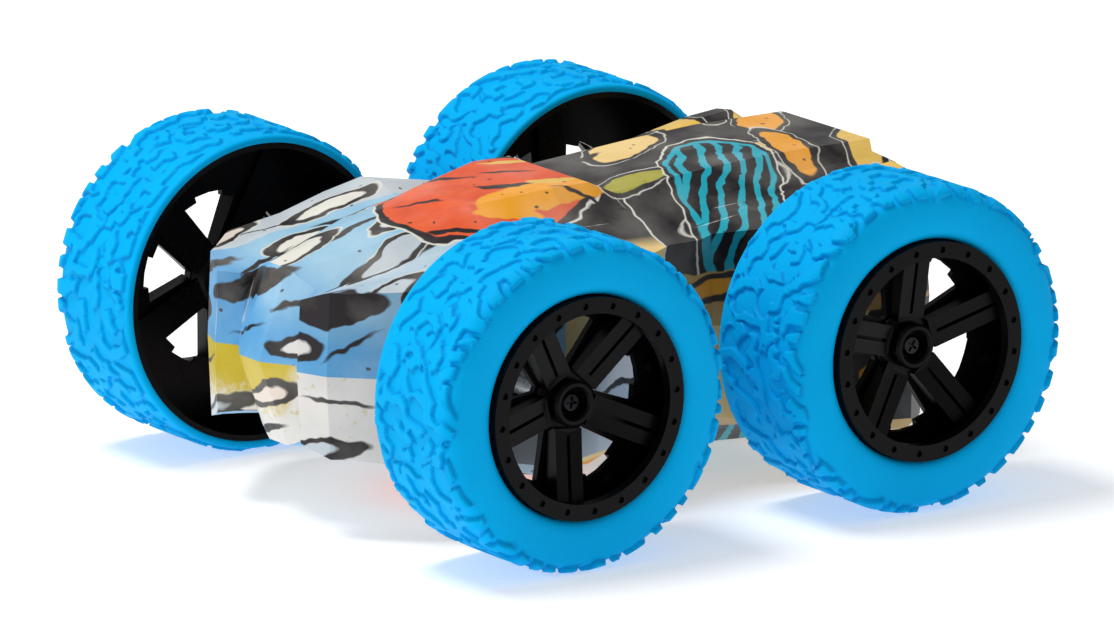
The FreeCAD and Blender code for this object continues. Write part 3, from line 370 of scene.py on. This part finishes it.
def brush_marks(rng, zone, counts, lean, size, colours, edge=(1.5, 0.0)):
    """Leaves and thin slashes in turn, on a loose grid over a zone.

    zone is (u from, u to, v from, v to), size a leaf's half length and half width,
    and edge the widths of its dark outline and of the cream line round that.
    """
    u_from, u_to, v_from, v_to = zone
    rows = []
    for i in range(counts[0]):
        for j in range(counts[1]):
            u = u_from + (i + rng.uniform(0.25, 0.75)) * (u_to - u_from) / counts[0]
            v = v_from + (j + rng.uniform(0.25, 0.75)) * (v_to - v_from) / counts[1]
            turn = lean + rng.uniform(-18.0, 18.0)
            long = size[0] * rng.uniform(0.75, 1.2)
            if (i + j) % 2 == 0:
                colour = colours[rng.integers(len(colours))]
                rows.append((u, v, long, size[1] * rng.uniform(0.7, 1.2), turn, colour) + edge)
            else:
                rows.append((u, v, long, rng.uniform(0.6, 1.5), turn, CHARCOAL, 0.0, 0.0))
    return rows


def paint_nose(p, rng):
    """Front faces above the parting line."""
    g = p.g
    front = g.above(p.facing[0], 0.6, 0.1) * g.above(p.x, 78.0, 2.0)
    p.fill(front, BLUE)
    p.fill(front * g.above(p.bz, 12.0, 9.0) * g.above(p.by, -3.0, 5.0) * 0.7, SKY)
    p.marks(brush_marks(rng, (-42, 42, 1, 24), (4, 2), 20, (9, 2.8), (PALE, MIST, CHARCOAL)),
            "end", NOSE_END)


def paint_rear(p, rng):
    """Rear faces and the side walls above the parting line."""
    g = p.g
    wall = g.below(p.facing[2], 0.45, 0.1) * g.above(p.away, 34.0, 1.0)
    # Tan lower band of the side walls: partly print colour, partly painted shade at the bottom of
    # the wall.
    p.fill(wall * g.below(p.bz, 15.0, 0.5) * g.below(p.bx, 8.0, 0.4), TAN)
    back = g.below(p.facing[0], -0.6, 0.1) * g.below(p.x, -80.0, 2.0)
    p.fill(back, CHARCOAL)
    p.marks(brush_marks(rng, (-42, 42, 2, 28), (4, 2), -18, (10, 3.8), (GOLD, AMBER, SAND, TEAL)),
            "end", TAIL_END)
    p.marks(brush_marks(rng, (-88, -14, 3, 17), (3, 1), 8, (12, 4.2), (GOLD, AMBER)), "side")
    p.marks(brush_marks(rng, (26, 74, 3, 14), (2, 1), -8, (9, 3.2), (MIST, BLUE)), "side")


def paint_lower(p, rng, upper):
    """Walls and nose under the parting line, over what the deck carries."""
    g = p.g
    p.colour = PALE
    p.region(p.bx + 22.0, SAND, 1.3, 0.0)
    p.region(p.bx + p.bz * 0.8 + 70.0, CHARCOAL, 0.0, 0.4)
    ragged = p.bz + (g.noise(2.2, 2.0) - 0.5) * 12.0
    leaning = p.by - p.bz * 0.7
    p.fill(g.above(ragged, -14.0, 6.0) * g.above(p.x, 78.0, 6.0) * g.below(leaning, 16.0, 5.0),
           MUSTARD)
    p.fill(g.above(g.noise(2.6, 3.0), 0.66, 0.05) * g.above(p.x, 84.0, 6.0) * 0.5, MUSTARD)
    p.marks(brush_marks(rng, (-40, 42, -26, -3), (3, 2), 15, (8, 2.4), (PEACH, SKY, MIST)),
            "end", 92.0)
    p.marks(brush_marks(rng, (4, 64, -24, -4), (3, 1), 12, (10, 3.6), (SKY, MIST)), "side")
    p.marks(brush_marks(rng, (-86, -30, -24, -4), (3, 1), 16, (10, 4.2), (AMBER, GOLD)), "side")
    p.marks(brush_marks(rng, (-42, 42, -28, -3), (4, 2), 12, (10, 4.0), (GOLD, TEAL, SAND, ORANGE)),
            "end", TAIL_END)
    walls = g.below(p.z, 0.0, 0.1) * g.above(p.facing[2], -0.6, 0.1)
    p.colour = g.blend(walls, upper, p.colour)


def wrapped_print(name, edge=False):
    """Zones of colour from nose to tail, with brush marks over them.

    With edge set, the same pattern is made paler in patches as a painted highlight, for the facets'
    edges.
    """
    p = Print(name)
    g = p.g
    p.fill(g.below(p.y, 38.0, 4.0) * g.below(p.bx, 30.0, 0.4), CHARCOAL)
    p.fill(g.above(p.bx, 30.0, 0.4), SKY)
    p.fill(g.above(p.x, 86.0, 10.0) * 0.9, BLUE)
    p.fill(g.above(p.bx, 14.0, 0.4) * g.below(p.by, -29.0, 0.4), MIST)
    p.fill(g.above(p.bx, 40.0, 8.0) * g.above(p.by, 18.0, 6.0) * 0.4, PALE)
    rng = np.random.default_rng(PRINT_SEED)
    p.marks(brush_marks(rng, (40, 90, -46, 46), (3, 5), 4, (12, 3.4), (PALE, MIST, PEACH, CREAM),
                        LINED))
    fire = g.blob((p.bx, p.by, p.bz), (24, 3, 30), (31, 25, 60), (0, 0, 8))
    p.region(fire, ORANGE, 1.8, 0.6)
    glow = g.above(g.noise(9.0, 3.0, vector=p.bent), 0.5, 0.3) * g.below(fire, -3.0, 3.0)
    p.fill(glow * 0.4, rgb(214, 58, 34))
    p.shape((16, 16, 30), (19, 7, 60), -8, AMBER, 0.0, 0.0)
    p.marks(brush_marks(rng, (0, 50, -20, 26), (3, 4), -28, (9, 1.8), (AMBER, GOLD, ORANGE), PLAIN))
    rear = p.bx + p.by * 0.1 + 4.0
    p.region(rear, CHARCOAL, 0.0, 0.6)
    p.fill(g.below(rear, 0.0, 0.4) * g.above(p.by, 42.0, 1.0), SAND)
    p.marks(brush_marks(rng, (-64, -2, -46, 48), (3, 4), 24, (14, 6.0), (SAND, GOLD, OLIVE, SAND),
                        LINED))
    pool = p.shape((-40, 22, 30), (29, 15, 60), 64, TEAL, 1.4, 0.5)
    p.stripes(pool, (0.86, -0.5, 0.2), 5.2, 0.62, CHARCOAL, 1.6)
    p.region(p.bx + 66.0, CHARCOAL, 0.0, 0.0)
    p.marks(brush_marks(rng, (-94, -60, -44, 50), (3, 4), 68, (15, 5.6), (GOLD, AMBER, SAND, GOLD),
                        LINED))
    paint_rear(p, rng)
    paint_nose(p, rng)
    flecks = g.cells(6.0, vector=p.bent)
    p.fill(g.below(flecks, 0.09, 0.03) * 0.9, CHARCOAL)
    paint_lower(p, rng, p.colour)
    cloud = g.noise(20.0, 4.0)
    p.fill(g.above(cloud, 0.58, 0.35) * 0.16, rgb(255, 250, 240))
    p.fill(g.below(cloud, 0.42, 0.3) * 0.12, rgb(40, 44, 60))
    if edge:
        # Painted highlight: pale patches over the pattern on the bevelled edges.
        highlight_patches = g.noise(5.0, 3.0)
        p.fill(g.above(highlight_patches, 0.45, 0.2) * 0.5, rgb(240, 238, 232))
    grain = g.noise(0.6, 2.0)
    g.bump(grain, 0.02, 0.5)
    return g.finish(p.colour, (cloud - 0.5) * 0.12 + 0.4, Coat_Weight=0.05, Coat_Roughness=0.22,
                    Specular_IOR_Level=0.2)


# ---------------------------------------------------------------------------
# Tyres
# ---------------------------------------------------------------------------
TREAD_STEP = 0.32
AROUND = 900
SHOULDER_BLOCKS = 42
# Outside of the tyre from its inner lip over the crown to the bead: (radius, y).
TYRE_OUTSIDE = [
    (41.45, 60.5), (41.8, 60.05), (42.8, 60.0), (43.5, 60.5), (43.75, 62.0), (43.85, 70.0),
    (43.9, 80.0), (43.85, 88.0), (43.75, 92.0), (43.1, 94.2), (41.6, 95.6), (38.5, 96.3),
    (34.5, 96.5), (32.0, 96.1), (30.6, 95.2), (30.15, 93.4)]
TYRE_SEAT = [(31.15, 92.1), (38.1, 88.6), (41.5, 82.1), (41.5, 71.0)]


def rounded(points, rounds=3):
    """Cuts corners off an open line, keeping its ends."""
    line = np.array(points, float)
    for _ in range(rounds):
        near = line[:-1] * 0.75 + line[1:] * 0.25
        far = line[:-1] * 0.25 + line[1:] * 0.75
        middle = np.stack([near, far], 1).reshape(-1, 2)
        line = np.vstack([line[:1], middle, line[-1:]])
    return line


def even_steps(line, step):
    lengths = np.r_[0.0, np.cumsum(np.linalg.norm(np.diff(line, axis=0), axis=1))]
    count = int(round(lengths[-1] / step)) + 1
    spots = np.linspace(0.0, lengths[-1], count)
    return np.c_[np.interp(spots, lengths, line[:, 0]), np.interp(spots, lengths, line[:, 1])]


def band_noise(rng, shape, steps, length, spread, stretch):
    """Seamless noise whose swirls are about length millimetres apart."""
    rows = np.fft.fftfreq(shape[0], steps[0])[:, None]
    columns = np.fft.fftfreq(shape[1], steps[1])[None, :] * stretch
    pitch = np.sqrt(rows ** 2 + columns ** 2)
    gain = np.exp(-((pitch - 1.0 / length) / spread) ** 2)
    field = np.fft.ifft2(np.fft.fft2(rng.standard_normal(shape)) * gain).real
    return field / field.std()


def smooth_step(value, low, high):
    t = np.clip((value - low) / (high - low), 0.0, 1.0)
    return t * t * (3.0 - 2.0 * t)


def reach(field, around_step, soft):
    """Distance in millimetres from where a field changes sign, keeping its sign."""
    slope_a, slope_b = np.gradient(field, around_step, TREAD_STEP)
    return field / np.sqrt(slope_a ** 2 + slope_b ** 2 + soft)


def tread_height(line):
    """Height of the lugs in millimetres, and a weight for the shade painted along each lug's foot.
    """
    rng = np.random.default_rng(11)
    count = len(line)
    around_step = 2.0 * math.pi * 44.0 / AROUND
    shape = (AROUND, 256)
    steps = (around_step, TREAD_STEP)
    swirl = band_noise(rng, shape, steps, 13.0, 0.014, 1.1)
    swirl += 0.22 * band_noise(rng, shape, steps, 5.4, 0.03, 1.0)
    gap = band_noise(rng, shape, steps, 10.5, 0.02, 0.9)
    bulge = band_noise(rng, shape, steps, 4.6, 0.04, 1.0)
    drift = band_noise(rng, shape, steps, 16.0, 0.03, 1.0)
    swirl, gap, bulge, drift = (field[:, :count] for field in (swirl, gap, bulge, drift))
    radius, across = line[:, 0], line[:, 1]
    angle = np.linspace(0.0, 2.0 * math.pi, AROUND, endpoint=False)[:, None]
    ribbon = 1.75 + 0.4 * bulge - np.abs(reach(swirl, around_step, 0.012))
    lugs = np.minimum(ribbon, reach(gap + 0.55, around_step, 0.03))
    blocks = 2.2 * np.cos(SHOULDER_BLOCKS * angle + 1.5 * drift) + 0.7
    outer = smooth_step(across, 89.0, 93.5)[None, :]
    distance = lugs * (1.0 - 0.75 * outer) + blocks * 0.75 * outer
    length = np.r_[0.0, np.cumsum(np.linalg.norm(np.diff(line, axis=0), axis=1))]
    crown_start = np.interp(62.4, across[: count // 2], length[: count // 2])
    shoulder = np.argmax((across > 90.0) & (radius < 42.4))
    distance = np.minimum(distance, length[None, :] - crown_start + 0.5 * drift)
    distance = np.minimum(distance, length[shoulder] + 0.8 * drift - length[None, :])
    tall = 0.95 + 0.35 * smooth_step(across, 89.0, 93.0)[None, :]
    # Weight of the painted shade, highest just outside each lug's edge.
    foot_shade = smooth_step(distance, -1.0, -0.15) * (1.0 - smooth_step(distance, -0.1, 0.2))
    return tall * smooth_step(distance, -0.28, 0.3), foot_shade


def tyre_mesh():
    line = even_steps(rounded(TYRE_OUTSIDE), TREAD_STEP)
    heights, foot_shade = tread_height(line)
    along = np.gradient(line, axis=0)
    along /= np.linalg.norm(along, axis=1)[:, None]
    normal = np.c_[along[:, 1], -along[:, 0]]
    radius = line[None, :, 0] + heights * normal[None, :, 0]
    across = line[None, :, 1] + heights * normal[None, :, 1]
    smooth = (line[:, 1] > 90.0) & (line[:, 0] < 41.0)
    chosen = ~smooth | (np.arange(len(line)) % 3 == 0)
    chosen[-1] = True
    radius = np.minimum(radius, 45.0)[:, chosen]
    across = np.clip(across, 60.0, 96.5)[:, chosen]
    seat = np.array(TYRE_SEAT)
    radius = np.hstack([radius, np.tile(seat[:, 0], (AROUND, 1))])
    across = np.hstack([across, np.tile(seat[:, 1], (AROUND, 1))])
    foot_shade = np.hstack([foot_shade[:, chosen], np.zeros((AROUND, len(seat)))])
    rows, columns = radius.shape
    angle = np.linspace(0.0, 2.0 * math.pi, AROUND, endpoint=False)[:, None]
    points = np.stack([radius * np.cos(angle), across, radius * np.sin(angle)], 2) * MM
    i = np.arange(rows)[:, None]
    j = np.arange(columns)[None, :]
    i2 = (i + 1) % rows
    j2 = (j + 1) % columns
    faces = np.stack([i * columns + j, i * columns + j2, i2 * columns + j2, i2 * columns + j], 2)
    return points.reshape(-1, 3), faces.reshape(-1, 4), foot_shade.ravel()


def mesh_from(name, points, faces):
    """Mesh of quads from arrays."""
    mesh = bpy.data.meshes.new(name)
    mesh.vertices.add(len(points))
    mesh.vertices.foreach_set("co", points.astype(np.float32).ravel())
    mesh.loops.add(faces.size)
    mesh.loops.foreach_set("vertex_index", faces.astype(np.int32).ravel())
    mesh.polygons.add(len(faces))
    mesh.polygons.foreach_set("loop_start", np.arange(0, faces.size, 4, dtype=np.int32))
    mesh.update(calc_edges=True)
    mesh.validate()
    mesh.polygons.foreach_set("use_smooth", [True] * len(mesh.polygons))
    return mesh


def piece(name, mesh, material, body):
    thing = bpy.data.objects.new(name, mesh)
    bpy.context.scene.collection.objects.link(thing)
    mesh.materials.append(material)
    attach(thing, body)
    return thing


def build_tyres(material):
    points, faces, foot_shade = tyre_mesh()
    for number, corner in enumerate(CORNERS):
        low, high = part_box("tyre_" + corner)
        turned = points.copy()
        spin = 1.3 * number
        turned[:, 0] = points[:, 0] * math.cos(spin) - points[:, 2] * math.sin(spin)
        turned[:, 2] = points[:, 0] * math.sin(spin) + points[:, 2] * math.cos(spin)
        if corner.endswith("right"):
            turned[:, 0] *= -1.0
            turned[:, 1] *= -1.0
        turned[:, 0] += (low.x + high.x) / 2.0
        turned[:, 2] += (low.z + high.z) / 2.0
        mesh = mesh_from("tread_" + corner, turned, faces)
        shade = mesh.attributes.new("painted_lug_shade", "FLOAT", "POINT")
        shade.data.foreach_set("value", foot_shade.astype(np.float32))
        thing = piece("tread_" + corner, mesh, material, "wheel_" + corner)
        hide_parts("tyre_" + corner)


# ---------------------------------------------------------------------------
# CAD pieces that stay
# ---------------------------------------------------------------------------
def dress(name, material, bevel=0.0, edge=None, angle=28.0):
    """Material, smooth shading and softened edges for one CAD piece."""
    thing = NODES[name]
    thing.data.materials.clear()
    thing.data.materials.append(material)
    if edge is not None:
        thing.data.materials.append(edge)
    thing.data.polygons.foreach_set("use_smooth", [True] * len(thing.data.polygons))
    thing.data.set_sharp_from_angle(angle=math.radians(angle))
    if bevel:
        soft = thing.modifiers.new("soft_edges", "BEVEL")
        soft.width = bevel * MM
        soft.segments = 2
        soft.limit_method = "ANGLE"
        soft.angle_limit = math.radians(angle)
        soft.harden_normals = True
        soft.use_clamp_overlap = True
        soft.material = 1 if edge is not None else -1


def dress_all():
    black = moulded("rim_plastic", rgb(5, 5, 7), rgb(9, 9, 12), 0.3, Specular_IOR_Level=0.1)
    nylon = moulded("gear_nylon", rgb(222, 218, 204), rgb(236, 233, 222), 0.42, 0.8,
                    Subsurface_Weight=0.1)
    grey = moulded("frame_plastic", rgb(52, 54, 58), rgb(64, 66, 70), 0.5)
    switch = moulded("switch_plastic", rgb(20, 20, 22), rgb(32, 32, 34), 0.45)
    blued = metal("black_steel", (0.028, 0.028, 0.031, 1), (0.012, 0.012, 0.014, 1), 0.34)
    steel = metal("steel", (0.52, 0.53, 0.55, 1), (0.36, 0.36, 0.37, 1), 0.28)
    can = metal("motor_steel", (0.62, 0.62, 0.61, 1), (0.45, 0.44, 0.42, 1), 0.34)
    brass = metal("brass", (0.72, 0.5, 0.2, 1), (0.5, 0.33, 0.12, 1), 0.3)
    red = wire_sleeve("wire_red", rgb(178, 20, 18))
    dark = wire_sleeve("wire_black", rgb(24, 24, 26))
    printed = wrapped_print("shell_print")
    edge_highlight = wrapped_print("shell_print_edge_highlight", edge=True)
    finishes = {
        "rim_": (black, 0.22), "hub_cap_": (black, 0.15), "wheel_screw_": (blued, 0.1),
        "axle_gear_": (nylon, 0.0), "axle_bushes": (brass, 0.15), "axle_": (steel, 0.0),
        "idler_gear_": (nylon, 0.0), "centre_gear_": (nylon, 0.0), "cluster_gear_": (nylon, 0.0),
        "gear_pins_": (steel, 0.0), "gearbox_": (grey, 0.2), "motor_can_": (can, 0.3),
        "motor_shaft_": (steel, 0.0), "motor_pinion_": (brass, 0.0), "motor_lead_": (dark, 0.0),
        "battery_lead": (red, 0.0), "aerial_wire": (dark, 0.0),
        "battery_pack": (battery_sleeve(), 0.0), "circuit_board": (board_lacquer(), 0.1),
        "power_switch_": (switch, 0.15), "shell_screws": (steel, 0.1),
        "battery_door_screw": (steel, 0.1)}
    for name in NODES:
        if name in ("upper_shell", "lower_shell", "battery_door"):
            # The shells' bevels take the edge material, with its painted highlight.
            dress(name, printed, 0.35, edge_highlight, angle=9.0)
        elif not name.startswith("tyre_"):
            material, bevel = next(v for k, v in finishes.items() if name.startswith(k))
            dress(name, material, bevel)


# ---------------------------------------------------------------------------
# Floor, light and camera
# ---------------------------------------------------------------------------
def floor():
    """Pale sweep, lit a little from within like a light table."""
    g = Graph("floor")
    speck = g.noise(30.0, 3.0)
    shade = g.blend(speck, rgb(236, 236, 236), rgb(242, 242, 242))
    g.finish(shade, 0.7, Emission_Color=(1, 1, 1, 1), Emission_Strength=0.42,
             Specular_IOR_Level=0.2)
    side = 3.0
    low = CAD_BOX[0].z
    corners = [(-side, -side, low), (side, -side, low), (side, side, low), (-side, side, low)]
    mesh = bpy.data.meshes.new("floor")
    mesh.from_pydata(corners, [], [(0, 1, 2, 3)])
    mesh.materials.append(g.material)
    thing = bpy.data.objects.new("floor", mesh)
    bpy.context.scene.collection.objects.link(thing)


def lamp(name, place, size, power):
    """Round soft light that faces the car."""
    light = bpy.data.lights.new(name, "AREA")
    light.shape = "DISK"
    light.size = size
    light.energy = power
    thing = bpy.data.objects.new(name, light)
    bpy.context.scene.collection.objects.link(thing)
    thing.location = place
    thing.rotation_euler = (-Vector(place)).to_track_quat("-Z", "Y").to_euler()


def sky(strength, seen):
    """Even white surround; the camera sees it at its own brightness."""
    world = bpy.data.worlds.new("studio")
    world.use_nodes = True
    tree = world.node_tree
    lighting = tree.nodes["Background"]
    lighting.inputs["Color"].default_value = (1, 1, 1, 1)
    path = tree.nodes.new("ShaderNodeLightPath")
    mix = tree.nodes.new("ShaderNodeMix")
    mix.inputs["A"].default_value = strength
    mix.inputs["B"].default_value = seen
    tree.links.new(path.outputs["Is Camera Ray"], mix.inputs["Factor"])
    tree.links.new(mix.outputs["Result"], lighting.inputs["Strength"])
    bpy.context.scene.world = world


def studio():
    floor()
    lamp("top_light", (0.45, -0.25, 1.35), 0.6, 13.5)
    lamp("front_light", (1.6, -0.3, 0.55), 0.6, 3.8)
    sky(0.4, 1.0)
    bpy.context.scene.view_settings.view_transform = "Standard"


def camera():
    """Long lens from the front left, a little above."""
    data = bpy.data.cameras.new("camera")
    data.lens = 398.6
    data.sensor_width = 36.0
    data.clip_end = 20.0
    thing = bpy.data.objects.new("camera", data)
    bpy.context.scene.collection.objects.link(thing)
    towards = Vector((-0.5489, -0.8013, -0.2378))
    thing.location = (1.8316, 2.6749, 0.7922)
    thing.rotation_euler = towards.to_track_quat("-Z", "Y").to_euler()
    bpy.context.scene.camera = thing


build_tyres(rubber())
dress_all()
studio()
camera()
